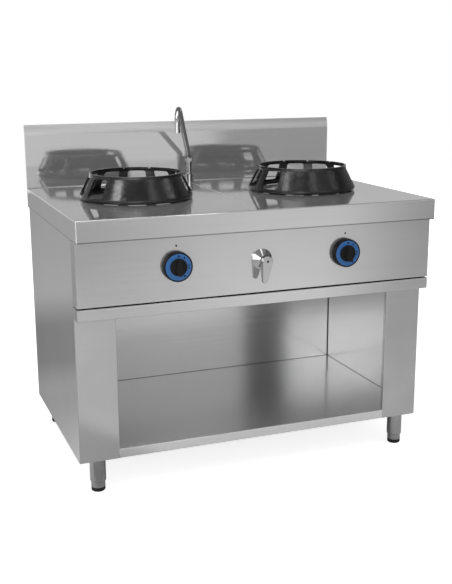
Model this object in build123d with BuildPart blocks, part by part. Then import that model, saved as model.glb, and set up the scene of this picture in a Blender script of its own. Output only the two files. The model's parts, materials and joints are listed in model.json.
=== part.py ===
from build123d import *

import os
from math import cos, radians, sin, tan

# Two-burner wok range on an open cabinet, with a water tap behind the burners.
# Millimetres. X runs left to right, Y from the cook to the wall, Z up. The origin is on the
# floor, under the middle of everything the range takes up.

# ---------------------------------------------------------------- overall sizes
width = 1200
depth = 800
worktop_height = 880
worktop_edge = 67  # height of the folded edge round the worktop
splash_height = 225
splash_depth = 12
splash_roll = 38  # height over which the splashback's face curves back at the top
splash_flat = 3  # width of the level strip behind the curve

# ---------------------------------------------------------------- sheet metal
sheet = 1.5
top_sheet = 2.0
bend = 2.5  # outer radius of the folds in the panels
top_bend = 4.0  # outer radius of the folds in the worktop
fit_gap = 0.3  # between pieces that are slid together
run_gap = 0.05  # radial clearance of a shaft in its bore

# ---------------------------------------------------------------- cabinet
panel_setback = 27  # control panel's face behind the worktop's front edge
body_setback = 72  # side panels' front edge behind the worktop's front edge
body_depth = 700
back_recess = 55  # inner back wall ahead of the body's back
back_groove = 1.5  # between the inner back wall and the inner side walls
body_bottom = 107
shelf_lip = 31
stile_width = 129  # front return of each side panel
stile_hem = 15
rear_return = 40
bottom_return = 30
liner_gap = 15  # inner side wall inside the outer one
rail_drop = 307  # worktop to the lower edge of the front rail
rail_height = 37
panel_gap = 3.5  # shadow gap between front rail and control panel
front_hem = 42  # folds under the worktop's edge
rear_hem = 33
side_hem = 15
flange = 20  # folded edges of shelf, floor and back wall
channel_width = 30  # stiffening channels under the worktop and beams over the floor
channel_height = 40
vents_per_row = 14
vent_rows = 2
vent_length = 34
vent_height = 5

# ---------------------------------------------------------------- legs
leg_radius = 25.4
leg_inset_side = 62
leg_inset_front = 28
leg_step = 33  # floor to the lower end of the leg tube
leg_chamfer = 2.2
foot_radius = 22.3
foot_wall = 1.5
foot_engaged = 47  # length of foot sleeve inside the leg tube
pad_height = 14
pad_rounding = 5
pad_plug = 10
leg_plate = 92
leg_plate_thickness = 3
bolt_radius = 3
bolt_head = 4
bolt_nut = 5
bolt_flats = 10
bolt_spread = 60

# ---------------------------------------------------------------- wok rings
ring_spread = 304  # ring centre from the middle of the range
ring_setback = 400  # ring centre behind the worktop's front edge
ring_height = 87
ring_foot_radius = 194.5  # where the sloped wall would meet the foot
ring_foot_inner = 164
ring_top_radius = 155
ring_rim = 9  # height of the upright band at the top
ring_wall = 6
ring_shoulder = 10
ring_rounding = 6
ring_pad = 2
ring_pad_width = 31
ring_pad_depth = 10
ring_pad_circle = 171  # radius of the circle the pads stand on
ring_pads = 12
window_count = 8
window_pitch = 33.5  # degrees between windows; the rest of the ring is a solid shield
window_bottom = 17
window_top = 75
window_foot_width = 70
window_head_width = 60
window_rounding = 8
notch_width = 10
notch_depth = 7

# ---------------------------------------------------------------- burners
well_radius = 95
well_depth = 55
well_floor = 80  # radius where the well's side meets its floor
well_rim = 12
chamber_radius = 60
chamber_height = 40
casting_wall = 5
neck_radius = 46
neck_height = 26
crown_radius = 60
crown_bore = 36
crown_height = 25
crown_slots = 24
slot_width = 3
slot_depth = 12
spigot = 6
cap_radius = 58
cap_height = 9
cap_rounding = 3
venturi_radius = 18
venturi_wall = 3.5
bell_radius = 27
bell_length = 20
shutter_thickness = 3
shutter_hole = 4.5
shutter_ring = 14
injector_radius = 6
injector_length = 12
sensor_distance = 70  # burner axis to pilot and thermocouple
sensor_spread = 14  # degrees each side of straight back
sensor_drop = 35  # length below the well's floor
sensor_collar = 7
sensor_collar_height = 4
pilot_radius = 4
pilot_height = 46
pilot_head = 5.5
pilot_head_height = 12
thermocouple_radius = 3
thermocouple_height = 41

# ---------------------------------------------------------------- gas line
knob_spread = 286
knob_shift = -3  # midpoint of the knobs beside the middle of the range
control_drop = 160  # worktop to the axes of knobs and water lever
valve_radius = 14
valve_length = 44
valve_boss = 9
valve_boss_bore = 5
stem_radius = 4
stem_reach = 24  # length of stem behind the panel's face
stem_engaged = 15  # length of stem inside the knob
sleeve_radius = 7
sleeve_length = 15
sleeve_room = 16  # depth of the valve's bore for the sleeve
manifold_offset = 27  # pipe axis behind the panel
manifold_drop = 45  # pipe axis below the knobs
manifold_end = 60  # pipe past each valve
manifold_boss = 16
gas_pipe_radius = 10.65
gas_pipe_wall = 2.65
gas_pipe_bend = 32
gas_inlet_run = 84  # end of the manifold to the axis of the gas inlet
gas_thread_radius = 13.22
gas_thread_length = 22
feed_radius = 5
feed_wall = 1
feed_bend = 18
feed_setback = 33.5  # rising part of the feed behind the valve
feed_room = 57.5  # valve to injector
pipe_end = 5  # pipe ends ahead of the worktop's rear edge

# ---------------------------------------------------------------- knobs
knob_radius = 46.5
knob_depth = 20  # panel to dial face
knob_travel = 3  # push to turn
knob_clearance = 0.5  # left between panel and pushed knob
knob_draft = 0.8
knob_hollow = 12
knob_hub = 9
knob_wall = 3.5
knob_edge = 1.2
dial_outer = 41
dial_inner = 26.5
dial_thickness = 0.8
grip_base = 5  # height of the round base under the grip
grip_height = 16
grip_head = 13  # width of the grip at its pointing end
grip_tail = 22
grip_inset = 1  # ends of the grip inside the edge of its base
grip_draft = 3
grip_rounding = 1.5

# ---------------------------------------------------------------- water line
water_x = -8  # axis of the water lever beside the middle of the range
cone_radius = 33
cone_height = 13
cone_edge = 2
cone_tip = 11
housing_radius = 9
spindle_radius = 6
spindle_engaged = 20
spindle_room = 2  # bore behind the spindle
lever_start = 28  # panel to the back of the lever's head
lever_face = 47  # panel to the front of the lever's head
lever_head = 17
lever_length = 70
lever_rest = 6  # degrees that the closed lever's tip hangs to the left
lever_tip_radius = 8
lever_tip_back = 34
lever_tip_face = 42
lever_rounding = 1.5
plug_radius = 3.5
plug_depth = 1.0
water_valve_radius = 15
water_valve_length = 66
port_setback = 10  # pipe ports ahead of the valve's rear end
port_radius = 10.5
port_reach = 23  # valve axis to the port faces
port_depth = 12
water_pipe_radius = 7.5
water_pipe_wall = 1
water_bend = 22
water_thread_radius = 10.48
water_thread_length = 20
supply_drop = 48  # supply pipe below the valve
feed_rise = 75  # level run of the feed pipe above the valve

# ---------------------------------------------------------------- tap
tap_x = -3
tap_offset = 50  # column axis ahead of the splashback
tap_base_radius = 17
tap_base_height = 27
tap_collar_radius = 18.5
tap_collar_height = 5
tap_shank_radius = 10
tap_shank_length = 34
tap_bore = 6
column_radius = 11
column_height = 79  # worktop to the top of the column
column_draft = 2
nut_flats = 26
nut_height = 11
spout_radius = 9
spout_wall = 1.5
spout_spigot = 22
knee_rise = 9.5  # nut to the corner where the spout slopes off
knee_bend = 16
spout_slope = 37.1  # degrees above level
spout_reach = 303
spout_bend = 46
spout_heading = 26  # degrees to the left of straight ahead
outlet_drop = 26  # straight tube below the bend
aerator_radius = 10.5
aerator_height = 14
aerator_engaged = 9

# ---------------------------------------------------------------- places worked out from them
overhang = lever_face - panel_setback  # lever in front of the worktop
top_front = -(depth - overhang) / 2
top_back = top_front + depth
panel_face = top_front + panel_setback
panel_inner = panel_face + sheet
body_front = top_front + body_setback
body_back = body_front + body_depth
back_wall = body_back - back_recess
splash_face = top_back - splash_depth
splash_top = worktop_height + splash_height
edge_bottom = worktop_height - worktop_edge
control_height = worktop_height - control_drop
rail_bottom = worktop_height - rail_drop
shelf_top = body_bottom + shelf_lip
rail_top = rail_bottom + rail_height
panel_bottom = rail_top + panel_gap
half = width / 2
side_inner = half - sheet
liner_face = half - liner_gap
hem_end = body_front + stile_hem + fit_gap
floor_top = rail_bottom + sheet
floor_back = body_back - 2 * sheet
ring_y = top_front + ring_setback
ring_base = worktop_height + ring_pad
ring_top = worktop_height + ring_height
leg_x = half - leg_inset_side
leg_top = body_bottom + sheet
plate_top = leg_top + leg_plate_thickness
well_top = worktop_height + sheet
well_inside = worktop_height - well_depth
underwell = well_inside - sheet
neck_top = well_inside + neck_height
crown_top = neck_top + crown_height
venturi_z = underwell - chamber_height / 2
valve_end = panel_inner + valve_length
injector_y = valve_end + feed_room
mouth_y = injector_y + injector_length + shutter_thickness
venturi_reach = ring_y - mouth_y
manifold_y = panel_inner + manifold_offset
manifold_z = control_height - manifold_drop
manifold_x = knob_spread + manifold_end
gas_inlet_x = manifold_x + gas_inlet_run
boss_top = manifold_z + manifold_boss
water_end = panel_inner + water_valve_length
port_y = water_end - port_setback
supply_height = control_height - supply_drop
feed_height = control_height + feed_rise
pipe_back = top_back - pipe_end
knob_back = knob_travel + knob_clearance
hub_face = panel_face - knob_back
dial_face = panel_face - knob_depth
grip_face = dial_face - grip_base
grip_end = dial_inner - grip_inset
tap_y = splash_face - tap_offset
shank_end = worktop_height - tap_shank_length
column_top = worktop_height + column_height
nut_top = column_top + nut_height
knee_z = nut_top + knee_rise
bend_corner = knee_z + spout_reach * tan(radians(spout_slope))
bend_tangent = spout_bend * tan(radians((90 + spout_slope) / 2))
spout_end = bend_corner - bend_tangent - outlet_drop
ring_places = ((-ring_spread, "left"), (ring_spread, "right"))
knob_places = ((knob_shift - knob_spread, "left"), (knob_shift + knob_spread, "right"))
leg_places = (
    (-leg_x, body_front + leg_inset_front, "front_left"),
    (leg_x, body_front + leg_inset_front, "front_right"),
    (-leg_x, body_back - leg_inset_front, "rear_left"),
    (leg_x, body_back - leg_inset_front, "rear_right"),
)
plate_rows = (body_front + sheet + leg_plate / 2, body_back - sheet - leg_plate / 2)
bolt_places = [
    (sign * (half - bottom_return / 2), row + shift * bolt_spread / 2)
    for sign in (-1, 1)
    for row in plate_rows
    for shift in (-1, 1)
]


def save(piece, node):
    """Label a finished piece and write it under its node's name."""
    piece.part.label = node
    export_step(piece.part, f"parts/{node}.step")


def folded(plane, points, side=Side.LEFT, thickness=sheet, radius=bend):
    """Section of a folded sheet whose outer face follows the points."""
    with BuildSketch(plane) as section:
        with BuildLine():
            FilletPolyline(*points, radius=radius)
            offset(amount=thickness, side=side)
        make_face()
    return section.sketch


def outline(plane, *points):
    """Closed profile through the points."""
    with BuildSketch(plane) as section:
        with BuildLine():
            Polyline(*points, close=True)
        make_face()
    return section.sketch


def disc(plane, radius, *places, bore=0):
    """Discs of one radius, or rings if a bore is given, centred on the places."""
    with BuildSketch(plane) as section:
        with Locations(*places):
            Circle(radius)
            if bore:
                Circle(bore, mode=Mode.SUBTRACT)
    return section.sketch


def tube(path, radius, wall):
    """Ring section of a pipe at the start of its centre line."""
    with BuildSketch(Plane(origin=path @ 0, z_dir=path % 0)) as section:
        Circle(radius)
        Circle(radius - wall, mode=Mode.SUBTRACT)
    return section.sketch


def level(z):
    return Plane.XY.offset(z)


def facing(y):
    """Upright plane at y as the cook sees it: X to the right, Z up, normal towards the cook."""
    return Plane.XZ.offset(-y)


def upright(x, y):
    """Plane for a profile of radius and height about the upright axis at x, y."""
    return Plane(origin=(x, y, 0), x_dir=(1, 0, 0), z_dir=(0, -1, 0))


def outward(x):
    """Plane for a profile of radius and distance out of the control panel."""
    return Plane(origin=(x, panel_face, control_height), x_dir=(1, 0, 0), z_dir=(0, 0, -1))


def bearing(x, angle):
    """Upright plane through a ring's axis, its normal pointing this far clockwise of straight back."""
    turn = radians(angle)
    return Plane(origin=(x, ring_y, 0), x_dir=(-cos(turn), sin(turn), 0), z_dir=(sin(turn), cos(turn), 0))


def behind_burner(x, turn):
    """Place beside a burner, turned this many degrees from straight back."""
    angle = radians(90 - turn)
    return x + sensor_distance * cos(angle), ring_y + sensor_distance * sin(angle)


def pilot_at(x):
    return behind_burner(x, sensor_spread)


def thermocouple_at(x):
    return behind_burner(x, -sensor_spread)


def upright_axis(x, y):
    return Axis((x, y, 0), (0, 0, 1))


def outward_axis(x):
    return Axis((x, panel_face, control_height), (0, -1, 0))


os.makedirs("parts", exist_ok=True)

# ================================================================ worktop and splashback
with BuildPart() as worktop:
    with BuildSketch(level(edge_bottom)):
        with Locations((0, (top_front + top_back) / 2)):
            Rectangle(width, depth)
    extrude(amount=worktop_edge)
    front_corners = edges().filter_by(Axis.Z).group_by(Axis.Y)[0]
    top_edges = faces().sort_by(Axis.Z)[-1].edges().sort_by(Axis.Y)[:-1]
    fillet(front_corners + top_edges, radius=top_bend)
    offset(amount=-top_sheet, openings=faces().sort_by(Axis.Z)[0])
    with BuildSketch(level(edge_bottom)):
        with Locations((0, (top_front + top_back) / 2)):
            Rectangle(width - 2 * top_sheet, depth - 2 * top_sheet)
        with Locations((0, (top_front + front_hem + top_back - rear_hem) / 2)):
            Rectangle(width - 2 * side_hem, depth - front_hem - rear_hem, mode=Mode.SUBTRACT)
    extrude(amount=top_sheet)
    with Locations(*[(x, ring_y, worktop_height) for x, _ in ring_places]):
        Hole(well_radius + 2 * sheet, depth=2 * top_sheet)
    with Locations((tap_x, tap_y, worktop_height)):
        Hole(tap_shank_radius + fit_gap, depth=2 * top_sheet)
save(worktop, "worktop")

with BuildPart() as worktop_stiffeners:
    for inset, mode in ((0, Mode.ADD), (sheet, Mode.SUBTRACT)):
        with BuildSketch(level(worktop_height - top_sheet - inset)):
            with Locations((0, ring_y - ring_foot_radius), (0, ring_y + ring_foot_radius)):
                Rectangle(width - 2 * top_bend, channel_width - 2 * inset)
        extrude(amount=-channel_height, mode=mode)
save(worktop_stiffeners, "worktop_stiffeners")

with BuildPart() as splashback:
    with BuildSketch(Plane.YZ):
        with BuildLine():
            curve_start = (splash_face, splash_top - splash_roll)
            curve_end = (top_back - splash_flat, splash_top)
            Polyline(curve_end, (top_back, splash_top), (top_back, worktop_height))
            Polyline((top_back, worktop_height), (splash_face, worktop_height), curve_start)
            TangentArc(curve_start, curve_end, tangent=(0, 1))
        make_face()
    extrude(amount=half, both=True)
    offset(amount=-sheet, openings=faces().sort_by(Axis.Z)[0])
save(splashback, "splashback")

# ================================================================ cabinet
side_points = [
    (-half + stile_width, body_front + stile_hem),
    (-half + stile_width, body_front),
    (-half, body_front),
    (-half, body_back),
    (-half + rear_return, body_back),
]
with BuildPart() as side_panel_left:
    extrude(folded(level(body_bottom), side_points, Side.RIGHT), amount=rail_bottom - body_bottom)
    extrude(folded(level(rail_bottom), side_points[1:], Side.RIGHT), amount=edge_bottom - rail_bottom)
    for z, ledge in ((body_bottom, bottom_return), (edge_bottom - sheet, side_hem)):
        with BuildSketch(level(z)):
            with Locations((-side_inner, body_front + sheet)):
                Rectangle(ledge - sheet, body_depth - 3 * sheet, align=Align.MIN)
        extrude(amount=sheet)
    left_bolts = [place for place in bolt_places if place[0] < 0]
    bolt_holes = disc(level(body_bottom), bolt_radius + fit_gap, *left_bolts)
    extrude(bolt_holes, amount=sheet, mode=Mode.SUBTRACT)
save(side_panel_left, "side_panel_left")

with BuildPart() as side_panel_right:
    mirror(side_panel_left.part, about=Plane.YZ)
save(side_panel_right, "side_panel_right")

with BuildPart() as side_liners:
    liner_points = [
        (-side_inner, hem_end),
        (-liner_face, hem_end),
        (-liner_face, back_wall + flange),
        (-side_inner, back_wall + flange),
    ]
    extrude(folded(level(shelf_top), liner_points), amount=rail_bottom - shelf_top)
    mirror(about=Plane.YZ)
save(side_liners, "side_liners")

with BuildPart() as bottom_shelf:
    shelf_points = [
        (body_front + stile_hem, body_bottom),
        (body_front, body_bottom),
        (body_front, shelf_top),
        (back_wall + flange, shelf_top),
        (back_wall + flange, shelf_top - flange),
    ]
    extrude(folded(Plane.YZ, shelf_points, Side.RIGHT), amount=side_inner, both=True)
    with BuildSketch(level(body_bottom)):
        with Locations((-half, body_front), (half, body_front)):
            Rectangle(2 * (stile_width + fit_gap), 2 * (stile_hem + fit_gap))
    extrude(amount=2 * shelf_lip, mode=Mode.SUBTRACT)
    with BuildSketch(level(leg_top)):
        with Locations((-side_inner + sheet / 2, hem_end), (side_inner - sheet / 2, hem_end)):
            Rectangle(sheet, back_wall + flange - sheet - hem_end, align=(Align.CENTER, Align.MIN))
    extrude(amount=shelf_top - sheet - leg_top)
save(bottom_shelf, "bottom_shelf")

with BuildPart() as back_panel:
    back_points = [
        (-liner_face + back_groove, back_wall + flange),
        (-liner_face + back_groove, back_wall),
        (liner_face - back_groove, back_wall),
        (liner_face - back_groove, back_wall + flange),
    ]
    extrude(folded(level(shelf_top), back_points), amount=rail_bottom - shelf_top)
save(back_panel, "back_panel")

with BuildPart() as burner_floor:
    floor_points = [
        (-side_inner, rail_bottom + flange),
        (-side_inner, rail_bottom),
        (side_inner, rail_bottom),
        (side_inner, rail_bottom + flange),
    ]
    extrude(folded(facing(floor_back), floor_points), amount=floor_back - body_front - bend)
save(burner_floor, "burner_floor")

with BuildPart() as rear_panel:
    with BuildSketch(facing(floor_back + sheet)):
        with Locations((0, (rail_bottom + edge_bottom) / 2)):
            Rectangle(2 * (side_inner - bend), edge_bottom - rail_bottom)
        with Locations((0, (control_height + edge_bottom) / 2)):
            with GridLocations(2 * vent_length, 4 * vent_height, vents_per_row, vent_rows):
                SlotOverall(vent_length, vent_height, mode=Mode.SUBTRACT)
        with Locations((gas_inlet_x, manifold_z)):
            Circle(gas_pipe_radius + fit_gap, mode=Mode.SUBTRACT)
        with Locations((water_x, supply_height)):
            Circle(water_pipe_radius + fit_gap, mode=Mode.SUBTRACT)
    extrude(amount=sheet)
save(rear_panel, "rear_panel")

with BuildPart() as cross_beams:
    beam_front = body_front + stile_hem + sheet + channel_width / 2
    beam_rear = floor_back - channel_width / 2
    for inset, mode in ((0, Mode.ADD), (sheet, Mode.SUBTRACT)):
        with BuildSketch(level(floor_top)):
            with Locations((0, beam_front), (0, beam_rear)):
                Rectangle(2 * (side_inner - bend), channel_width - 2 * inset)
        extrude(amount=channel_height - inset, mode=mode)
save(cross_beams, "cross_beams")

with BuildPart() as front_rail:
    with BuildSketch(facing(body_front)):
        with Locations((0, (rail_bottom + rail_top) / 2)):
            Rectangle(width, rail_height)
    extrude(amount=body_front - panel_face)
    fillet(edges().filter_by(Axis.Y) + faces().sort_by(Axis.Y)[0].edges(), radius=bend)
    offset(amount=-sheet, openings=faces().sort_by(Axis.Y)[-1])
save(front_rail, "front_rail")

with BuildPart() as control_panel:
    with BuildSketch(facing(body_front)):
        with Locations((0, (panel_bottom + edge_bottom) / 2)):
            Rectangle(width, edge_bottom - panel_bottom)
    extrude(amount=body_front - panel_face)
    fillet(edges().filter_by(Axis.Y) + faces().sort_by(Axis.Y)[0].edges(), radius=bend)
    offset(amount=-sheet, openings=faces().sort_by(Axis.Y)[-1])
    with BuildSketch(facing(panel_inner)):
        with Locations(*[(x, control_height) for x, _ in knob_places]):
            Circle(sleeve_radius + 4 * fit_gap)
        with Locations((water_x, control_height)):
            Circle(housing_radius + fit_gap)
    extrude(amount=sheet, mode=Mode.SUBTRACT)
save(control_panel, "control_panel")

# ================================================================ legs and feet
with BuildPart() as leg_plates:
    plate_inner = leg_x - leg_plate / 2
    plate_outer = side_inner - sheet - fit_gap
    with BuildSketch(level(leg_top)):
        for sign in (-1, 1):
            with Locations(*[(sign * (plate_inner + plate_outer) / 2, row) for row in plate_rows]):
                Rectangle(plate_outer - plate_inner, leg_plate)
        with Locations(*bolt_places):
            Circle(bolt_radius + fit_gap, mode=Mode.SUBTRACT)
    extrude(amount=leg_plate_thickness)
save(leg_plates, "leg_plates")

with BuildPart() as leg_bolts:
    for z, thickness in ((body_bottom - bolt_head, bolt_head), (plate_top, bolt_nut)):
        with BuildSketch(level(z)):
            with Locations(*bolt_places):
                RegularPolygon(bolt_flats / 2, side_count=6, major_radius=False)
        extrude(amount=thickness)
    shank_length = plate_top - body_bottom + bolt_nut + bolt_radius
    extrude(disc(level(body_bottom), bolt_radius, *bolt_places), amount=shank_length)
save(leg_bolts, "leg_bolts")

with BuildPart() as leg_tubes:
    centres = [(x, y) for x, y, _ in leg_places]
    leg_section = disc(level(leg_step), leg_radius, *centres, bore=foot_radius + run_gap)
    extrude(leg_section, amount=leg_top - leg_step)
    lower_rims = edges().filter_by(GeomType.CIRCLE).group_by(Axis.Z)[0].group_by(SortBy.RADIUS)[-1]
    chamfer(lower_rims, length=leg_chamfer)
save(leg_tubes, "leg_tubes")

for x, y, corner in leg_places:
    with BuildPart() as foot_sleeve:
        sleeve_section = disc(level(pad_height), foot_radius, (x, y), bore=foot_radius - foot_wall)
        extrude(sleeve_section, amount=leg_step + foot_engaged - pad_height)
    save(foot_sleeve, f"foot_sleeve_{corner}")

    with BuildPart() as foot_pad:
        extrude(disc(level(0), foot_radius, (x, y)), amount=pad_height)
        fillet(edges().sort_by(Axis.Z)[0], radius=pad_rounding)
        extrude(disc(level(pad_height), foot_radius - foot_wall - run_gap, (x, y)), amount=pad_plug)
    save(foot_pad, f"foot_pad_{corner}")

# ================================================================ wok rings and burners
for x, side in ring_places:
    with BuildPart() as wok_ring:
        ring_points = [
            (ring_foot_inner, ring_base),
            (ring_foot_radius, ring_base),
            (ring_top_radius, ring_top - ring_rim),
            (ring_top_radius, ring_top),
        ]
        roundings = (ring_shoulder, ring_rounding)
        wall_section = folded(upright(x, ring_y), ring_points, Side.LEFT, ring_wall, roundings)
        revolve(wall_section, axis=upright_axis(x, ring_y))
        for number in range(window_count):
            with BuildSketch(bearing(x, (number - (window_count - 1) / 2) * window_pitch)):
                with BuildLine():
                    Polyline(
                        (-window_foot_width / 2, worktop_height + window_bottom),
                        (window_foot_width / 2, worktop_height + window_bottom),
                        (window_head_width / 2, worktop_height + window_top),
                        (-window_head_width / 2, worktop_height + window_top),
                        close=True,
                    )
                make_face()
                fillet(vertices(), radius=window_rounding)
            extrude(amount=ring_foot_radius, mode=Mode.SUBTRACT)
        for number in range(window_count + 1):
            notch = outline(
                bearing(x, (number - window_count / 2) * window_pitch),
                (-notch_width / 2, ring_top),
                (0, ring_top - notch_depth),
                (notch_width / 2, ring_top),
            )
            extrude(notch, amount=ring_foot_radius, mode=Mode.SUBTRACT)
        with BuildSketch(level(worktop_height)):
            with Locations((x, ring_y)):
                with PolarLocations(ring_pad_circle, ring_pads, start_angle=90):
                    Rectangle(ring_pad_depth, ring_pad_width)
        extrude(amount=ring_pad)
    save(wok_ring, f"wok_ring_{side}")

    with BuildPart() as burner_well:
        well_points = [
            (well_radius + well_rim, well_top),
            (well_radius, well_top),
            (well_floor, well_inside),
            (neck_radius + fit_gap, well_inside),
        ]
        revolve(folded(upright(x, ring_y), well_points), axis=upright_axis(x, ring_y))
        pilot_hole = disc(level(underwell), pilot_radius + fit_gap, pilot_at(x))
        extrude(pilot_hole, amount=sheet, mode=Mode.SUBTRACT)
        sensor_hole = disc(level(underwell), thermocouple_radius + fit_gap, thermocouple_at(x))
        extrude(sensor_hole, amount=sheet, mode=Mode.SUBTRACT)
    save(burner_well, f"burner_well_{side}")

    with BuildPart() as burner_body:
        along_tube = Plane(origin=(x, mouth_y, venturi_z), x_dir=(1, 0, 0), z_dir=(0, 0, 1))
        tube_axis = Axis((x, mouth_y, venturi_z), (0, 1, 0))
        for inset, mode in ((0, Mode.ADD), (1, Mode.SUBTRACT)):
            wall = inset * casting_wall
            tube_inner = inset * venturi_wall
            extrude(
                disc(level(underwell - chamber_height + wall), chamber_radius - wall, (x, ring_y)),
                amount=chamber_height - 2 * wall,
                mode=mode,
            )
            neck_section = disc(level(underwell - wall), neck_radius - wall, (x, ring_y))
            extrude(neck_section, amount=neck_top - underwell + wall, mode=mode)
            venturi = outline(
                along_tube,
                (0, 0),
                (bell_radius - tube_inner, 0),
                (venturi_radius - tube_inner, bell_length),
                (venturi_radius - tube_inner, venturi_reach - chamber_radius + casting_wall),
                (0, venturi_reach - chamber_radius + casting_wall),
            )
            revolve(venturi, axis=tube_axis, mode=mode)
    save(burner_body, f"burner_body_{side}")

    with BuildPart() as burner_crown:
        crown_profile = outline(
            upright(x, ring_y),
            (crown_bore, neck_top - spigot),
            (neck_radius - casting_wall - run_gap, neck_top - spigot),
            (neck_radius - casting_wall - run_gap, neck_top),
            (crown_radius, neck_top),
            (crown_radius, crown_top),
            (crown_bore, crown_top),
        )
        revolve(crown_profile, axis=upright_axis(x, ring_y))
        with BuildSketch(level(crown_top)):
            with Locations((x, ring_y)):
                with PolarLocations((crown_bore + crown_radius) / 2, crown_slots):
                    Rectangle(2 * (crown_radius - crown_bore), slot_width)
        extrude(amount=-slot_depth, mode=Mode.SUBTRACT)
    save(burner_crown, f"burner_crown_{side}")

    with BuildPart() as burner_cap:
        extrude(disc(level(crown_top), cap_radius, (x, ring_y)), amount=cap_height)
        fillet(edges().sort_by(Axis.Z)[-1], radius=cap_rounding)
        extrude(disc(level(crown_top), crown_bore - run_gap, (x, ring_y)), amount=-spigot)
    save(burner_cap, f"burner_cap_{side}")

with BuildPart() as pilots:
    pilot_places = [pilot_at(x) for x, _ in ring_places]
    pilot_tube = disc(level(underwell - sensor_drop), pilot_radius, *pilot_places)
    extrude(pilot_tube, amount=sensor_drop + pilot_height)
    extrude(disc(level(well_inside), sensor_collar, *pilot_places), amount=sensor_collar_height)
    head_start = level(well_inside + pilot_height - pilot_head_height)
    extrude(disc(head_start, pilot_head, *pilot_places), amount=pilot_head_height)
save(pilots, "pilots")

with BuildPart() as thermocouples:
    thermocouple_places = [thermocouple_at(x) for x, _ in ring_places]
    rod = disc(level(underwell - sensor_drop), thermocouple_radius, *thermocouple_places)
    extrude(rod, amount=sensor_drop + thermocouple_height)
    extrude(disc(level(well_inside), sensor_collar, *thermocouple_places), amount=sensor_collar_height)
save(thermocouples, "thermocouples")

# ================================================================ gas line
with BuildPart() as gas_manifold:
    bosses = [(x, manifold_y) for x, _ in knob_places]
    pipe_start = Plane.YZ.offset(-manifold_x)
    extrude(disc(pipe_start, gas_pipe_radius, (manifold_y, manifold_z)), amount=2 * manifold_x)
    extrude(disc(level(manifold_z), valve_boss, *bosses), amount=manifold_boss)
    pipe_bore = gas_pipe_radius - gas_pipe_wall
    bore = disc(pipe_start.offset(2 * manifold_x), pipe_bore, (manifold_y, manifold_z))
    extrude(bore, amount=2 * gas_pipe_wall - 2 * manifold_x, mode=Mode.SUBTRACT)
    extrude(disc(level(manifold_z), valve_boss_bore, *bosses), amount=manifold_boss, mode=Mode.SUBTRACT)
save(gas_manifold, "gas_manifold")

with BuildPart() as gas_inlet_pipe:
    with BuildLine() as run:
        FilletPolyline(
            (manifold_x, manifold_y, manifold_z),
            (gas_inlet_x, manifold_y, manifold_z),
            (gas_inlet_x, pipe_back, manifold_z),
            radius=gas_pipe_bend,
        )
    sweep(tube(run.line, gas_pipe_radius, gas_pipe_wall), path=run.line)
    thread = disc(facing(pipe_back), gas_thread_radius, (gas_inlet_x, manifold_z), bore=pipe_bore)
    extrude(thread, amount=gas_thread_length)
save(gas_inlet_pipe, "gas_inlet_pipe")

with BuildPart() as gas_feeds:
    for (valve_x, _), (burner_x, _) in zip(knob_places, ring_places):
        with BuildLine() as run:
            FilletPolyline(
                (valve_x, valve_end, control_height),
                (valve_x, valve_end + feed_setback, control_height),
                (burner_x, valve_end + feed_setback, venturi_z),
                (burner_x, injector_y, venturi_z),
                radius=feed_bend,
            )
        sweep(tube(run.line, feed_radius, feed_wall), path=run.line)
save(gas_feeds, "gas_feeds")

with BuildPart() as injectors:
    tips = [(x, venturi_z) for x, _ in ring_places]
    extrude(disc(facing(mouth_y), bell_radius, *tips), amount=shutter_thickness)
    with BuildSketch(facing(mouth_y)):
        with Locations(*tips):
            with PolarLocations(shutter_ring, 4):
                Circle(shutter_hole)
    extrude(amount=shutter_thickness, mode=Mode.SUBTRACT)
    nozzle = disc(facing(mouth_y + injector_length), injector_radius, *tips)
    extrude(nozzle, amount=mouth_y + injector_length - injector_y)
save(injectors, "injectors")

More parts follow.
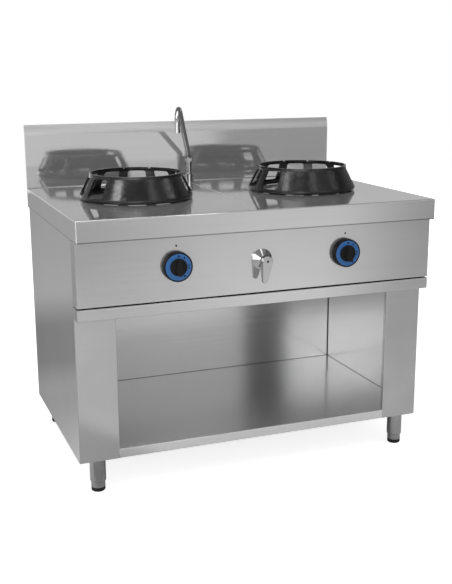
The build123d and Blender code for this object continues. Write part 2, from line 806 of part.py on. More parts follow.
for x, side in knob_places:
    centre = (x, control_height)
    with BuildPart() as gas_valve:
        extrude(disc(facing(valve_end), valve_radius, centre), amount=valve_length)
        extrude(disc(level(boss_top), valve_boss, (x, manifold_y)), amount=control_height - boss_top)
        inlet = disc(level(boss_top), valve_boss_bore, (x, manifold_y))
        extrude(inlet, amount=valve_boss, mode=Mode.SUBTRACT)
        sleeve_bore = disc(facing(panel_inner), sleeve_radius + run_gap, centre)
        extrude(sleeve_bore, amount=-sleeve_room, mode=Mode.SUBTRACT)
        stem_bore = disc(facing(panel_face), stem_radius + run_gap, centre)
        extrude(stem_bore, amount=-(stem_reach + knob_travel + knob_clearance), mode=Mode.SUBTRACT)
    save(gas_valve, f"gas_valve_{side}")

    with BuildPart() as stem_sleeve:
        sleeve_ring = disc(facing(hub_face), sleeve_radius, centre, bore=stem_radius + run_gap)
        extrude(sleeve_ring, amount=-sleeve_length)
    save(stem_sleeve, f"stem_sleeve_{side}")

    with BuildPart() as valve_stem:
        stem_section = disc(facing(panel_face + stem_reach), stem_radius, centre)
        extrude(stem_section, amount=stem_reach + knob_back + stem_engaged)
    save(valve_stem, f"valve_stem_{side}")

    with BuildPart() as knob:
        knob_profile = outline(
            outward(x),
            (0, knob_back),
            (knob_hub, knob_back),
            (knob_hub, knob_back + knob_hollow),
            (knob_radius - knob_wall, knob_back + knob_hollow),
            (knob_radius - knob_wall, knob_back),
            (knob_radius, knob_back),
            (knob_radius - knob_draft, knob_depth),
            (dial_outer, knob_depth),
            (dial_outer, knob_depth - dial_thickness),
            (dial_inner, knob_depth - dial_thickness),
            (dial_inner, knob_depth + grip_base),
            (0, knob_depth + grip_base),
        )
        revolve(knob_profile, axis=outward_axis(x))
        fillet(edges().filter_by(GeomType.CIRCLE).group_by(SortBy.RADIUS)[-2], radius=knob_edge)
        with BuildSketch(facing(grip_face)):
            with Locations((x, control_height + grip_end - grip_head / 2)):
                Circle(grip_head / 2)
            with Locations((x, control_height - grip_end + grip_tail / 2)):
                Circle(grip_tail / 2)
            make_hull()
        extrude(amount=grip_height, taper=grip_draft)
        fillet(faces().sort_by(Axis.Y)[0].edges(), radius=grip_rounding)
        stem_socket = disc(facing(hub_face), stem_radius + run_gap, centre)
        extrude(stem_socket, amount=stem_engaged, mode=Mode.SUBTRACT)
    save(knob, f"knob_{side}")

    with BuildPart() as dial_ring:
        dial_back = facing(dial_face + dial_thickness)
        dial_section = disc(dial_back, dial_outer - run_gap, centre, bore=dial_inner + run_gap)
        extrude(dial_section, amount=dial_thickness)
    save(dial_ring, f"dial_ring_{side}")

# ================================================================ water line
valve_centre = (water_x, control_height)
with BuildPart() as water_valve:
    extrude(disc(facing(water_end), water_valve_radius, valve_centre), amount=water_valve_length)
    extrude(disc(facing(panel_inner), housing_radius, valve_centre), amount=lever_start + sheet)
    ports = disc(level(control_height - port_reach), port_radius, (water_x, port_y))
    extrude(ports, amount=2 * port_reach)
    for direction in (-1, 1):
        port_face = level(control_height + direction * port_reach)
        port = disc(port_face, water_pipe_radius - water_pipe_wall, (water_x, port_y))
        extrude(port, amount=-direction * port_depth, mode=Mode.SUBTRACT)
    spindle_bore = disc(facing(panel_face - lever_start), spindle_radius + run_gap, valve_centre)
    extrude(spindle_bore, amount=-(lever_start + spindle_engaged + spindle_room), mode=Mode.SUBTRACT)
save(water_valve, "water_valve")

with BuildPart() as escutcheon:
    cone_profile = outline(
        outward(water_x),
        (housing_radius + run_gap, 0),
        (cone_radius, 0),
        (cone_radius, cone_edge),
        (cone_tip, cone_height),
        (housing_radius + run_gap, cone_height),
    )
    revolve(cone_profile, axis=outward_axis(water_x))
save(escutcheon, "escutcheon")

turn = radians(lever_rest)
lever_axis = (water_x, panel_face, control_height)
lever_side = Plane(origin=lever_axis, x_dir=(0, -1, 0), z_dir=(cos(turn), 0, -sin(turn)))
lever_line = Axis(lever_axis, (sin(turn), 0, cos(turn)))
with BuildPart() as water_lever:
    with BuildSketch(facing(panel_face - lever_start)):
        with Locations(Location((water_x, control_height), -lever_rest)):
            Circle(lever_head)
            with Locations((0, lever_tip_radius - lever_length)):
                Circle(lever_tip_radius)
        make_hull()
    extrude(amount=lever_face - lever_start)
    side_profile = outline(
        lever_side,
        (lever_start, -lever_head),
        (lever_start, lever_head),
        (lever_tip_back, lever_length),
        (lever_tip_face, lever_length),
        (lever_face, 0),
        (lever_face, -lever_head),
    )
    extrude(side_profile, amount=lever_head, both=True, mode=Mode.INTERSECT)
    fillet(faces().sort_by(Axis.Y)[0].edges().sort_by(lever_line)[1:], radius=lever_rounding)
    spindle = disc(facing(panel_face + spindle_engaged), spindle_radius, valve_centre)
    extrude(spindle, amount=spindle_engaged + lever_start)
    pocket = disc(facing(panel_face - lever_face), plug_radius + run_gap, valve_centre)
    extrude(pocket, amount=-plug_depth, mode=Mode.SUBTRACT)
save(water_lever, "water_lever")

with BuildPart() as lever_cap:
    plug = disc(facing(panel_face - lever_face + plug_depth), plug_radius, valve_centre)
    extrude(plug, amount=plug_depth)
save(lever_cap, "lever_cap")

with BuildPart() as water_supply_pipe:
    with BuildLine() as run:
        FilletPolyline(
            (water_x, pipe_back, supply_height),
            (water_x, port_y, supply_height),
            (water_x, port_y, control_height - port_reach),
            radius=water_bend,
        )
    sweep(tube(run.line, water_pipe_radius, water_pipe_wall), path=run.line)
    thread_bore = water_pipe_radius - water_pipe_wall
    thread = disc(facing(pipe_back), water_thread_radius, (water_x, supply_height), bore=thread_bore)
    extrude(thread, amount=water_thread_length)
save(water_supply_pipe, "water_supply_pipe")

with BuildPart() as water_feed_pipe:
    with BuildLine() as run:
        FilletPolyline(
            (water_x, port_y, control_height + port_reach),
            (water_x, port_y, feed_height),
            (tap_x, tap_y, feed_height),
            (tap_x, tap_y, shank_end),
            radius=water_bend,
        )
    sweep(tube(run.line, water_pipe_radius, water_pipe_wall), path=run.line)
save(water_feed_pipe, "water_feed_pipe")

# ================================================================ tap
with BuildPart() as tap_column:
    collar_bottom = worktop_height + tap_base_height
    collar_top = collar_bottom + tap_collar_height
    column_profile = outline(
        upright(tap_x, tap_y),
        (tap_bore, shank_end),
        (tap_shank_radius, shank_end),
        (tap_shank_radius, worktop_height),
        (tap_base_radius, worktop_height),
        (tap_base_radius, collar_bottom),
        (tap_collar_radius, collar_bottom),
        (tap_collar_radius, collar_top),
        (column_radius, collar_top + column_draft),
        (column_radius, column_top),
        (spout_radius + run_gap, column_top),
        (spout_radius + run_gap, column_top - spout_spigot),
        (tap_bore, column_top - spout_spigot),
    )
    revolve(column_profile, axis=upright_axis(tap_x, tap_y))
save(tap_column, "tap_column")

with BuildPart() as tap_nut:
    with BuildSketch(level(column_top)):
        with Locations((tap_x, tap_y)):
            RegularPolygon(nut_flats / 2, side_count=6, major_radius=False)
            Circle(spout_radius + run_gap, mode=Mode.SUBTRACT)
    extrude(amount=nut_height)
save(tap_nut, "tap_nut")

heading = radians(spout_heading)
ahead = (-sin(heading), -cos(heading), 0)
aside = (-cos(heading), sin(heading), 0)
spout_plane = Plane(origin=(tap_x, tap_y, 0), x_dir=ahead, z_dir=aside)
with BuildPart() as tap_spout:
    with BuildLine(spout_plane) as run:
        FilletPolyline(
            (0, column_top - spout_spigot),
            (0, knee_z),
            (spout_reach, bend_corner),
            (spout_reach, spout_end),
            radius=(knee_bend, spout_bend),
        )
    sweep(tube(run.line, spout_radius, spout_wall), path=run.line)
save(tap_spout, "tap_spout")

outlet = (tap_x - spout_reach * sin(heading), tap_y - spout_reach * cos(heading))
with BuildPart() as tap_aerator:
    aerator_bottom = spout_end + aerator_engaged - aerator_height
    body_section = disc(level(aerator_bottom), aerator_radius, outlet, bore=spout_radius - spout_wall)
    extrude(body_section, amount=aerator_height)
    socket = disc(level(spout_end), spout_radius + run_gap, outlet)
    extrude(socket, amount=aerator_engaged, mode=Mode.SUBTRACT)
save(tap_aerator, "tap_aerator")
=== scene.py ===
import json
import math

import bmesh
import bpy
from mathutils import Matrix, Vector


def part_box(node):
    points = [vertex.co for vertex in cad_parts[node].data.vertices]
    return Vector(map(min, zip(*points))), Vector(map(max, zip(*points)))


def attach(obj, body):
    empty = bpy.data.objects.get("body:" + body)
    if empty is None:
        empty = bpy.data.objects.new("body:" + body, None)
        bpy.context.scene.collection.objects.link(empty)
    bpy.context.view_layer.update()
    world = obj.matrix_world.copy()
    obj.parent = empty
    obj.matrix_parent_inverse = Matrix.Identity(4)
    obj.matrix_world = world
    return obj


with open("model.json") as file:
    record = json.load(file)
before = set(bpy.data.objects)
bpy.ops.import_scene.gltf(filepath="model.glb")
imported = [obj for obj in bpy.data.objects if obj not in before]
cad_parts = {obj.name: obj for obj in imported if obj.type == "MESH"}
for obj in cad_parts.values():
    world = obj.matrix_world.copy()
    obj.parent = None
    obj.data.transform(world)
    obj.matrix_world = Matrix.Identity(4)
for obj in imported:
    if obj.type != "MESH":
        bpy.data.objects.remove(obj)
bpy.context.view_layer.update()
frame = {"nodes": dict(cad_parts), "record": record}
scene = bpy.context.scene
scene.view_settings.view_transform = "Standard"


# ---------------------------------------------------------------- camera
def set_camera():
    """The photograph's camera, fitted to thirty of the range's edges and corners."""
    yaw, pitch, roll = 0.36752, 0.23658, -0.00414
    ahead = Vector((math.sin(yaw) * math.cos(pitch), math.cos(yaw) * math.cos(pitch), -math.sin(pitch)))
    level = Vector((math.cos(yaw), -math.sin(yaw), 0))
    upward = level.cross(ahead)
    right = math.cos(roll) * level + math.sin(roll) * upward
    up = math.cos(roll) * upward - math.sin(roll) * level
    data = bpy.data.cameras.new("camera")
    data.sensor_width = 36
    data.lens = 58.637
    data.clip_end = 60
    camera = bpy.data.objects.new("camera", data)
    turn = Matrix((right, up, -ahead)).transposed().to_4x4()
    camera.matrix_world = Matrix.Translation((-1.16155, -3.04485, 1.31766)) @ turn
    scene.collection.objects.link(camera)
    scene.camera = camera


set_camera()


# ---------------------------------------------------------------- node graphs
class Graph:
    """One node tree, filled by short calls that return output sockets."""

    def __init__(self, tree):
        self.tree = tree
        tree.nodes.clear()

    def node(self, kind, inputs=None, **settings):
        made = self.tree.nodes.new(kind)
        for key, value in settings.items():
            setattr(made, key, value)
        for key, value in (inputs or {}).items():
            if isinstance(value, bpy.types.NodeSocket):
                self.tree.links.new(value, made.inputs[key])
            else:
                made.inputs[key].default_value = value
        return made

    def place(self, stretch=(1, 1, 1)):
        """The point on the object in metres, stretched."""
        point = self.node("ShaderNodeTexCoord").outputs["Object"]
        return self.node("ShaderNodeMapping", {"Vector": point, "Scale": stretch}).outputs["Vector"]

    def noise(self, scale, stretch=(1, 1, 1), detail=2.0, rough=0.5):
        inputs = {
            "Vector": self.place(stretch),
            "Scale": scale,
            "Detail": detail,
            "Roughness": rough,
        }
        return self.node("ShaderNodeTexNoise", inputs).outputs["Fac"]

    def math(self, operation, a, b=0.0, c=0.0):
        made = self.node("ShaderNodeMath", {0: a, 1: b, 2: c}, operation=operation)
        return made.outputs[0]

    def remap(self, value, low, high, to_low=0.0, to_high=1.0, smooth=False):
        inputs = {"Value": value, "From Min": low, "From Max": high, "To Min": to_low, "To Max": to_high}
        kind = "SMOOTHSTEP" if smooth else "LINEAR"
        return self.node("ShaderNodeMapRange", inputs, interpolation_type=kind).outputs["Result"]

    def mix(self, share, a, b):
        """Mix of two colours or colour sockets."""
        made = self.node("ShaderNodeMix", {0: share, 6: a, 7: b}, data_type="RGBA")
        return made.outputs[2]

    def axes(self):
        """The point's x, y and z on the object in metres."""
        return self.node("ShaderNodeSeparateXYZ", {0: self.place()}).outputs

    def band(self, value, middle, reach):
        """One within a soft band about the middle, nought outside it."""
        away = self.math("ABSOLUTE", self.math("SUBTRACT", value, middle))
        return self.remap(away, 0.4 * reach, reach, 1.0, 0.0, smooth=True)

    def bump(self, height, distance, normal=None):
        inputs = {"Height": height, "Distance": distance}
        if normal is not None:
            inputs["Normal"] = normal
        return self.node("ShaderNodeBump", inputs).outputs["Normal"]


def grey(level):
    return (level, level, level, 1)


def tinted(colour, factor):
    return (colour[0] * factor, colour[1] * factor, colour[2] * factor, 1)


def principled(name, paint):
    """Material whose colour, roughness, normal and constants come from paint(graph)."""
    material = bpy.data.materials.new(name)
    material.use_nodes = True
    graph = Graph(material.node_tree)
    shader = graph.node("ShaderNodeBsdfPrincipled", paint(graph))
    graph.node("ShaderNodeOutputMaterial", {"Surface": shader.outputs["BSDF"]})
    return material


# places that the finishes refer to
splash_low, splash_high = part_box("splashback")
worktop_low, worktop_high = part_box("worktop")
rail_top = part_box("front_rail")[1].z
panel_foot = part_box("control_panel")[0].z
shelf_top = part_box("bottom_shelf")[1].z
back_low, back_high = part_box("back_panel")
BACK_GROOVE = 0.0015
side_wall = back_high.x + BACK_GROOVE

# directions that draw noise out into grain: small along the grain
UPRIGHT = (0.012, 0.012, 1)
LEVEL = (0.012, 1, 1)
DRAWN = (1, 1, 0.02)
TURNED = (1, 0.02, 1)

# sizes of what only the finishes draw
SEAM_REACH = 0.003
ROLL_START, ROLL_FULL = 0.04, 0.034
JOINT_REACH = 0.0025
THREAD_PITCH, THREAD_START = 0.001814, 0.386


def sheet_steel(name, tone=0.55, rough=0.1, along=(1, 1, 1), waves=0.0003, detail=None, metallic=0.76):
    """Satin stainless sheet; its grain runs where along is small, and detail adds to its looks."""

    def paint(g):
        fine = g.noise(900, along, 3, 0.6)
        streaks = g.noise(160, along, 2, 0.5)
        smears = g.noise(2.6, detail=3)
        patches = g.noise(11, detail=2)
        level = g.math("ADD", g.math("MULTIPLY", streaks, 0.5), g.math("MULTIPLY", smears, 0.5))
        colour = g.mix(g.remap(level, 0.35, 0.65), grey(tone * 0.97), grey(tone * 1.03))
        streaked = g.remap(streaks, 0.3, 0.7, -0.015, 0.015)
        blur = g.math("ADD", streaked, g.remap(patches, 0.3, 0.7, -0.012, 0.02))
        normal = g.bump(g.noise(3.2, detail=1), waves)
        normal = g.bump(streaks, 0.000012, normal)
        normal = g.bump(fine, 0.000004, normal)
        looks = {
            "Base Color": colour,
            "Metallic": metallic,
            "Roughness": g.math("ADD", blur, rough),
            "Normal": normal,
        }
        if detail:
            detail(g, looks)
        return looks

    return principled(name, paint)


def seam_highlight_and_edge_shade(g, looks):
    """Light, rougher, raised line along the worktop's centre weld that fades out towards the cook, partly
    painted highlight; painted shade on the corner bends and along the hem's lower edge.
    """
    x, y, z = g.axes()
    fade = g.remap(y, -0.32, -0.05, 0.0, 1.0, smooth=True)
    on_top = g.math("GREATER_THAN", z, worktop_high.z - 0.002)
    # painted highlight: the weld seam's bead is drawn light grey and rougher, fading out towards the cook
    seam_highlight = g.math("MULTIPLY", g.band(x, 0.0, SEAM_REACH), g.math("MULTIPLY", fade, on_top))
    looks["Base Color"] = g.mix(seam_highlight, looks["Base Color"], grey(0.8))
    looks["Roughness"] = g.math("MULTIPLY_ADD", seam_highlight, 0.25, looks["Roughness"])
    looks["Normal"] = g.bump(seam_highlight, 0.0004, looks["Normal"])
    # painted shade: the front corner bends lose most of their metallic sheen, which dims their highlight
    at_side = g.math("GREATER_THAN", g.math("ABSOLUTE", x), worktop_high.x - 0.0026)
    at_front = g.math("LESS_THAN", y, worktop_low.y + 0.0034)
    corner = g.math("MULTIPLY", at_side, at_front)
    # painted shade: the hem's lower edge is darkened to near black
    hem_shade = g.remap(z, worktop_low.z + 0.0015, worktop_low.z + 0.0045, 0.75, 0.0)
    looks["Metallic"] = g.math("MULTIPLY_ADD", corner, -0.6, looks["Metallic"])
    looks["Base Color"] = g.mix(hem_shade, looks["Base Color"], grey(0.08))


def dull_roll(g, looks):
    """The rolled top edge is left with the bending press's finish."""
    _, _, z = g.axes()
    roll = g.remap(z, splash_high.z - ROLL_START, splash_high.z - ROLL_FULL, 0.0, 1.0)
    looks["Roughness"] = g.math("MULTIPLY_ADD", roll, 0.28, looks["Roughness"])


def painted_return_and_gap_shade(g, looks):
    """Painted shade: the panel's folded-back ends are darker, duller and less metallic, and the shadow gap
    between rail and panel is painted near black.
    """
    x, _, z = g.axes()
    # painted shade: the folded-back ends are darkened, made rougher and less metallic
    end_shade = g.remap(g.math("ABSOLUTE", x), worktop_high.x - 0.0032, worktop_high.x - 0.002, 0.0, 1.0)
    looks["Metallic"] = g.math("MULTIPLY_ADD", end_shade, -0.6, looks["Metallic"])
    looks["Base Color"] = g.mix(end_shade, looks["Base Color"], grey(0.3))
    looks["Roughness"] = g.math("MULTIPLY_ADD", end_shade, 0.2, looks["Roughness"])
    # painted shade: the shadow gap above the rail is painted near black and not metallic
    above_rail = g.math("GREATER_THAN", z, rail_top - 0.0006)
    below_panel = g.math("LESS_THAN", z, panel_foot + 0.0008)
    gap_shade = g.math("MULTIPLY", above_rail, below_panel)
    looks["Metallic"] = g.math("MULTIPLY_ADD", gap_shade, -0.7, looks["Metallic"])
    looks["Base Color"] = g.mix(gap_shade, looks["Base Color"], grey(0.01))


def painted_foot_shade(g, looks):
    """Painted shade: the lower part of the sides is darker towards the bottom, in patches."""
    _, _, z = g.axes()
    # painted shade, growing towards the floor
    low = g.math("MULTIPLY", g.remap(z, 0.7, 0.3, 0.0, 1.0, smooth=True), g.noise(5, detail=3))
    looks["Base Color"] = g.mix(g.math("MULTIPLY", low, 0.9), looks["Base Color"], grey(0.36))


def bay_joint_shade(g, looks):
    """Painted shade: dark lines along the joints where the shelf, the inner walls and the back wall meet.
    """
    x, y, z = g.axes()
    across = g.math("ABSOLUTE", x)
    low = g.band(z, shelf_top, JOINT_REACH)
    back = g.band(y, back_low.y, JOINT_REACH)
    side = g.band(across, side_wall, JOINT_REACH)
    upright = g.math("MULTIPLY", side, g.math("MAXIMUM", low, back))
    joint_shade = g.math("MAXIMUM", g.math("MULTIPLY", low, back), upright)
    # painted shade in the joints between the bay's sheets
    looks["Base Color"] = g.mix(g.math("MULTIPLY", joint_shade, 0.75), looks["Base Color"], grey(0.08))


def cut_threads(g, looks):
    """Pipe threads over the last stretch of a pipe that ends behind the range."""
    _, y, _ = g.axes()
    crests = g.math("SINE", g.math("MULTIPLY", y, 2 * math.pi / THREAD_PITCH))
    end = g.math("GREATER_THAN", y, THREAD_START)
    looks["Normal"] = g.bump(g.math("MULTIPLY", crests, end), 0.0006, looks["Normal"])


def plain_metal(
    name, colour, rough, grain=1400, depth=0.000006, stretch=(1, 1, 1), spread=0.06, detail=None
):
    """Turned, drawn or plated metal with fine tool marks and handling; detail adds to its looks."""

    def paint(g):
        marks = g.noise(grain, stretch, 2, 0.6)
        handling = g.noise(28, detail=3)
        tone = g.mix(g.remap(handling, 0.3, 0.7), tinted(colour, 1 - spread), tinted(colour, 1 + spread))
        blur = g.math("ADD", g.remap(handling, 0.3, 0.7, -0.25 * rough, 0.3 * rough), rough)
        looks = {"Base Color": tone, "Metallic": 1.0, "Roughness": blur, "Normal": g.bump(marks, depth)}
        if detail:
            detail(g, looks)
        return looks

    return principled(name, paint)


def cast_iron(name, tone=0.005, rough=0.17, grain=0.0003):
    """Black enamelled casting with its sand grain under the gloss."""

    def paint(g):
        sand = g.noise(330, detail=3, rough=0.6)
        lumps = g.noise(60, detail=2)
        worn = g.noise(14, detail=4, rough=0.6)
        colour = g.mix(g.remap(worn, 0.35, 0.7), grey(tone * 0.7), grey(tone * 1.7))
        blur = g.math("ADD", g.remap(worn, 0.3, 0.7, -0.05, 0.07), rough)
        normal = g.bump(lumps, grain * 3)
        normal = g.bump(sand, grain, normal)
        return {"Base Color": colour, "Roughness": blur, "Normal": normal}

    return principled(name, paint)


def moulded(name, colour, rough, grain=0.00003, spread=0.12, scale=1500, gloss=0.5):
    """Moulded plastic or rubber with a fine eroded texture."""

    def paint(g):
        texture = g.noise(scale, detail=2)
        wear = g.noise(45, detail=3)
        tone = g.mix(g.remap(wear, 0.3, 0.7), tinted(colour, 1 - spread), tinted(colour, 1 + spread))
        blur = g.math("ADD", g.remap(wear, 0.3, 0.7, -0.06, 0.06), rough)
        normal = g.bump(texture, grain)
        return {"Base Color": tone, "Roughness": blur, "Specular IOR Level": gloss, "Normal": normal}

    return principled(name, paint)


finishes = {
    "steel_top": sheet_steel("satin_worktop", along=LEVEL, rough=0.06, detail=seam_highlight_and_edge_shade),
    "steel_splash": sheet_steel(
        "satin_splash", tone=0.51, along=UPRIGHT, rough=0.06, metallic=0.72, detail=dull_roll
    ),
    "steel_panel": sheet_steel("satin_panel", along=UPRIGHT, rough=0.13, detail=painted_return_and_gap_shade),
    "steel_body": sheet_steel("satin_body", along=UPRIGHT, rough=0.15, detail=painted_foot_shade),
    # painted light: the bay's steel gets a lighter tone than the body's, brightening the shaded bay
    "steel_bay": sheet_steel("satin_bay", tone=0.64, along=UPRIGHT, rough=0.18, detail=bay_joint_shade),
    "steel_frame": sheet_steel("mill_frame", tone=0.42, rough=0.32, along=UPRIGHT),
    "steel_leg": plain_metal("polished_leg", (0.34, 0.34, 0.34), 0.12, stretch=DRAWN),
    "fastener_steel": plain_metal("zinc_fastener", (0.46, 0.47, 0.48), 0.34),
    "foot_pad_black": moulded("foot_rubber", (0.012, 0.012, 0.012), 0.5, 0.00006, gloss=0.2),
    "ring_iron": cast_iron("ring_enamel"),
    "burner_iron": cast_iron("burner_iron", 0.02, 0.55, 0.0003),
    "cap_iron": cast_iron("cap_enamel", 0.012, 0.4, 0.0001),
    "well_steel": sheet_steel("pressed_well", tone=0.44, rough=0.24),
    "valve_brass": plain_metal("machined_brass", (0.55, 0.38, 0.16), 0.3),
    "stem_steel": plain_metal("turned_stem", (0.45, 0.45, 0.46), 0.25, stretch=TURNED),
    "sensor_metal": plain_metal("sensor_metal", (0.42, 0.36, 0.3), 0.33),
    "gas_pipe": plain_metal(
        "zinc_pipe", (0.4, 0.41, 0.42), 0.38, grain=500, depth=0.00001, detail=cut_threads
    ),
    "water_pipe": plain_metal("copper_pipe", (0.6, 0.31, 0.2), 0.3, grain=500, detail=cut_threads),
    "knob_black": moulded("knob_black", (0.018, 0.0175, 0.017), 0.34, gloss=0.03),
    "dial_blue": moulded("dial_blue", (0.022, 0.12, 0.34), 0.4, 0.000008, 0.05),
    "tap_chrome": plain_metal("tap_chrome", (0.4, 0.4, 0.405), 0.12, depth=0.000002, spread=0.03),
    "lever_cap_black": moulded("plug_black", (0.006, 0.006, 0.006), 0.45, gloss=0.1),
}
for part in frame["record"]["subparts"]:
    node = frame["nodes"][part["node"]]
    node.data.materials.clear()
    node.data.materials.append(finishes[part["material_slot"]])


# ---------------------------------------------------------------- small pieces
def piece(name, mesh, body, material):
    """Finish a bmesh, whose points are in the shared frame, as a piece of the range."""
    data = bpy.data.meshes.new(name)
    mesh.normal_update()
    mesh.to_mesh(data)
    mesh.free()
    data.materials.append(material)
    made = bpy.data.objects.new(name, data)
    scene.collection.objects.link(made)
    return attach(made, body)


def printed_spot(mesh, centre, wide, high, front, lean=0.0, thickness=0.00012, steps=28):
    """Thin printed oval on an upright face towards the cook, leaning by an angle."""
    x, z = centre
    loops = []
    for grow, y in ((1.0, front), (1.0, front - thickness * 0.6), (0.8, front - thickness)):
        loop = []
        for step in range(steps):
            turn = 2 * math.pi * step / steps
            u, v = grow * wide / 2 * math.cos(turn), grow * high / 2 * math.sin(turn)
            across = u * math.cos(lean) + v * math.sin(lean)
            rise = v * math.cos(lean) - u * math.sin(lean)
            loop.append(mesh.verts.new((x + across, y, z + rise)))
        loops.append(loop)
    for inner, outer in zip(loops, loops[1:]):
        for step in range(steps):
            follow = (step + 1) % steps
            mesh.faces.new((inner[step], inner[follow], outer[follow], outer[step]))
    mesh.faces.new(loops[-1])


def screw_head(mesh, x, face, z, steps=20):
    """Pan head with a round socket, on an upright face at the back; rims are radius and height."""
    rim = ((0.0042, 0.0), (0.0042, 0.0007), (0.0036, 0.0015), (0.0026, 0.0019))
    socket = ((0.0017, 0.0019), (0.0015, 0.0009))
    loops = []
    for radius, proud in rim + socket:
        loop = []
        for step in range(steps):
            turn = 2 * math.pi * step / steps
            across, up = radius * math.cos(turn), radius * math.sin(turn)
            loop.append(mesh.verts.new((x - across, face + proud, z + up)))
        loops.append(loop)
    for inner, outer in zip(loops, loops[1:]):
        for step in range(steps):
            follow = (step + 1) % steps
            mesh.faces.new((inner[step], inner[follow], outer[follow], outer[step])).smooth = True
    mesh.faces.new(loops[-1])


def cove(left, right, wall, ground, radius, steps=6):
    """Concave strip that fills the corner between a level sheet and an upright one behind it."""
    mesh = bmesh.new()
    rows = []
    for x in (left, right):
        row = []
        for step in range(steps + 1):
            turn = math.pi / 2 * step / steps
            y = wall - radius * (1 - math.sin(turn))
            z = ground + radius * (1 - math.cos(turn))
            row.append(mesh.verts.new((x, y, z)))
        rows.append(row + [mesh.verts.new((x, wall, ground))])
    count = steps + 2
    for step in range(count):
        follow = (step + 1) % count
        mesh.faces.new((rows[0][step], rows[0][follow], rows[1][follow], rows[1][step]))
    mesh.faces.new(rows[0][::-1])
    mesh.faces.new(rows[1])
    for face in mesh.faces:
        face.smooth = len(face.verts) == 4
    return mesh


# weld fillet along the splashback's foot
fillet_end = splash_high.x - 0.001
foot = cove(-fillet_end, fillet_end, splash_low.y, worktop_high.z, radius=0.0025)
piece("splash_foot", foot, "range", finishes["steel_splash"])

# rear panel's screws, their heads on the side panels' rear returns
side_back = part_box("side_panel_left")[1].y
rear_low, rear_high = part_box("rear_panel")
SCREW_INSET = 0.012
SCREW_SHARES = (0.12, 0.5, 0.88)
screws = bmesh.new()
for x in (rear_low.x + SCREW_INSET, rear_high.x - SCREW_INSET):
    for share in SCREW_SHARES:
        screw_head(screws, x, side_back, rear_low.z + share * (rear_high.z - rear_low.z))
piece("rear_screws", screws, "range", finishes["fastener_steel"])

# prints: each dial mark has its angle from the top, its distance out and its width
DIAL_MARKS = (
    (2, 0.0338, 0.0055),
    (34, 0.0338, 0.005),
    (84, 0.0335, 0.0048),
    (98, 0.0335, 0.0048),
    (147, 0.0338, 0.0055),
)
POINTER_RISE = 0.0625
PRINT_LIFT = 0.00002
print_black = moulded("print_black", (0.008, 0.008, 0.009), 0.5, spread=0.1, gloss=0.1)
print_navy = moulded("print_navy", (0.002, 0.004, 0.01), 0.5, spread=0.1, gloss=0.1)
panel_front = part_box("control_panel")[0].y
for side in ("left", "right"):
    low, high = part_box(f"dial_ring_{side}")
    x, z = (low.x + high.x) / 2, (low.z + high.z) / 2
    marks = bmesh.new()
    for angle, out, size in DIAL_MARKS:
        turn = math.radians(angle)
        spot = (x + out * math.sin(turn), z + out * math.cos(turn))
        printed_spot(marks, spot, size, size * 1.15, low.y - PRINT_LIFT, turn)
    piece(f"dial_marks_{side}", marks, f"knob_{side}", print_navy)
    pointer = bmesh.new()
    printed_spot(pointer, (x, z + POINTER_RISE), 0.006, 0.0064, panel_front - PRINT_LIFT)
    piece(f"pointer_dot_{side}", pointer, "range", print_black)


# ---------------------------------------------------------------- studio
def area_lamp(name, bearing, rise, reach, wide, high, power, aim=(0, 0, 0.85), spread=180):
    """Soft box at a bearing from straight ahead of the range, right positive, and a rise above aim."""
    turn, lift = math.radians(bearing), math.radians(rise)
    way = Vector((math.sin(turn) * math.cos(lift), -math.cos(turn) * math.cos(lift), math.sin(lift)))
    data = bpy.data.lights.new(name, "AREA")
    data.shape = "RECTANGLE"
    data.size, data.size_y = wide, high
    data.energy = power
    data.spread = math.radians(spread)
    lamp = bpy.data.objects.new(name, data)
    lamp.location = Vector(aim) + way * reach
    lamp.rotation_mode = "QUATERNION"
    lamp.rotation_quaternion = way.to_track_quat("Z", "Y")
    lamp.visible_camera = False
    scene.collection.objects.link(lamp)


# depth and height of the rings' cones, where the narrow cards aim
CONE_Y, CONE_Z = -0.1, 0.93
area_lamp("key_box", bearing=-50, rise=74, reach=3.0, wide=2.0, high=2.0, power=44)
area_lamp("front_strip", bearing=15.6, rise=39, reach=2.6, wide=0.12, high=1.3, power=2.6)
area_lamp("bay_fill", bearing=-36, rise=4, reach=3.4, wide=2.4, high=1.0, power=14, aim=(0, 0, 0.4))
area_lamp(
    "corner_card", bearing=-26, rise=18.5, reach=3.4, wide=1.0, high=0.5, power=7, aim=(0.4, 0.3, 0.15)
)
for name, bearing, rise, wide, high, power, x, spread in (
    ("ring_card", -62, 40, 0.5, 1.5, 0.75, -0.52, 22),
    ("edge_card", 72, 38, 0.2, 1.0, 0.06, -0.285, 16),
    ("side_card", -104, 38, 0.3, 1.0, 0.12, 0.285, 16),
):
    area_lamp(name, bearing, rise, 2.6, wide, high, power, aim=(x, CONE_Y, CONE_Z), spread=spread)


def floor_glow(g, x, y, aside, behind):
    """The light that steel mirrors of the floor: ahead and to the right, none under or behind the range."""
    left = g.remap(aside, -0.05, 0.45, 0.0, 0.5, smooth=True)
    right = g.remap(aside, 0.5, 0.76, 1.0, 0.0, smooth=True)
    near = g.remap(y, -1.7, -0.8, 0.0, 1.0, smooth=True)
    ahead = g.math("MULTIPLY", left, right)
    ahead = g.math("MULTIPLY_ADD", near, g.math("SUBTRACT", 0.14, ahead), ahead)
    clear_x = g.remap(g.math("ABSOLUTE", x), 0.5, 0.62, 0.0, 1.0)
    clear_y = g.remap(g.math("ABSOLUTE", y), 0.3, 0.42, 0.0, 1.0)
    clear = g.math("MAXIMUM", clear_x, clear_y)
    return g.math("MULTIPLY", g.math("MULTIPLY", ahead, clear), g.math("SUBTRACT", 1.0, behind))


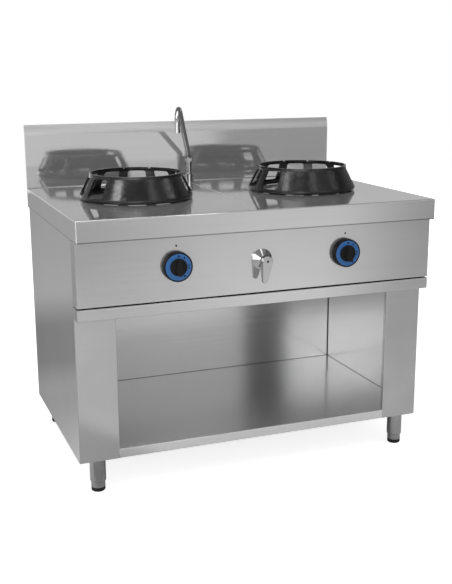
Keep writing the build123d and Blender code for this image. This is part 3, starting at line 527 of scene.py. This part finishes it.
def floor_tone_with_mirrored_shade(g, y, aside, behind, shiny):
    """Pale tone; for mirrored rays it carries painted shade: darker far to the left, and a dark band behind
    the range.
    """
    tone = g.mix(g.noise(3, detail=2), grey(0.78), grey(0.8))
    # painted shade in what steel mirrors: darker far to the left
    far_left = g.remap(aside, -0.55, -0.47, 1.0, 0.0)
    leftward = g.math("MULTIPLY", far_left, g.remap(y, -0.3, -0.4, 0.0, 1.0))
    tone = g.mix(g.math("MULTIPLY", shiny, leftward), tone, grey(0.4))
    # painted shade in what steel mirrors: a dark band behind the range
    banded = g.math("MAXIMUM", g.remap(y, 0.75, 1.1, 0.6, 0.36), g.remap(y, 1.7, 2.4, 0.36, 0.76))
    shade_bands = g.node("ShaderNodeCombineColor", {0: banded, 1: banded, 2: banded}).outputs[0]
    return g.mix(g.math("MULTIPLY", shiny, behind), tone, shade_bands)


def white_floor():
    """Pale floor that takes the range's shadow, white to the camera and shaded in what steel mirrors."""
    mesh = bmesh.new()
    bmesh.ops.create_grid(mesh, x_segments=8, y_segments=8, size=7)
    data = bpy.data.meshes.new("floor")
    mesh.to_mesh(data)
    mesh.free()
    floor = bpy.data.objects.new("floor", data)
    scene.collection.objects.link(floor)
    material = bpy.data.materials.new("pale_floor")
    material.use_nodes = True
    g = Graph(material.node_tree)
    ray = g.node("ShaderNodeLightPath").outputs
    shiny = g.math("MAXIMUM", ray["Is Glossy Ray"], ray["Is Transmission Ray"])
    x, y, _ = g.axes()
    aside = g.math("DIVIDE", x, g.math("MAXIMUM", g.math("MULTIPLY", y, -1.0), 0.3))
    behind = g.remap(y, -0.2, 0.6, 0.0, 1.0, smooth=True)
    away = g.node("ShaderNodeVectorMath", {0: g.place()}, operation="LENGTH").outputs["Value"]
    seen = g.remap(away, 1.0, 4.5, 0.74, 1.0, smooth=True)
    strength = g.math("MULTIPLY", shiny, floor_glow(g, x, y, aside, behind))
    strength = g.math("MULTIPLY_ADD", ray["Is Camera Ray"], seen, strength)
    tone = floor_tone_with_mirrored_shade(g, y, aside, behind, shiny)
    diffuse = g.node("ShaderNodeBsdfDiffuse", {"Color": tone}).outputs[0]
    glow = g.node("ShaderNodeEmission", {"Color": grey(1), "Strength": strength}).outputs[0]
    both = g.node("ShaderNodeAddShader", {0: diffuse, 1: glow}).outputs[0]
    g.node("ShaderNodeOutputMaterial", {"Surface": both})
    data.materials.append(material)


def studio_world():
    """White surround; mirrored, it has dim flats to the right and behind, and a dim ring overhead."""
    world = bpy.data.worlds.new("studio")
    world.use_nodes = True
    scene.world = world
    g = Graph(world.node_tree)
    ray = g.node("ShaderNodeLightPath").outputs
    way = g.node("ShaderNodeTexCoord").outputs["Generated"]
    x, y, z = g.node("ShaderNodeSeparateXYZ", {0: way}).outputs
    flat = g.math("MULTIPLY", g.remap(x, 0.341, 0.36, 0.0, 0.52), g.band(z, -0.06, 0.2))
    flag = g.remap(x, 0.58, 0.8, 0.0, 0.75, smooth=True)
    ring = g.remap(z, 0.34, 0.42, 0.0, 0.55)
    behind = g.math("MULTIPLY", g.remap(y, -0.1, 0.35, 0.0, 0.45, smooth=True), g.remap(z, 0.0, 0.12))
    mirrored = g.math("MULTIPLY", g.math("SUBTRACT", 1.0, flat), g.math("SUBTRACT", 1.0, ring))
    mirrored = g.math("MULTIPLY", mirrored, g.math("SUBTRACT", 1.0, g.math("MAXIMUM", behind, flag)))
    shiny = g.math("MAXIMUM", ray["Is Glossy Ray"], ray["Is Transmission Ray"])
    level = g.math("MULTIPLY_ADD", shiny, g.math("SUBTRACT", mirrored, 0.5), 0.5)
    level = g.math("MAXIMUM", level, ray["Is Camera Ray"])
    glow = g.node("ShaderNodeBackground", {"Color": grey(1), "Strength": level}).outputs[0]
    g.node("ShaderNodeOutputWorld", {"Surface": glow})


white_floor()
studio_world()
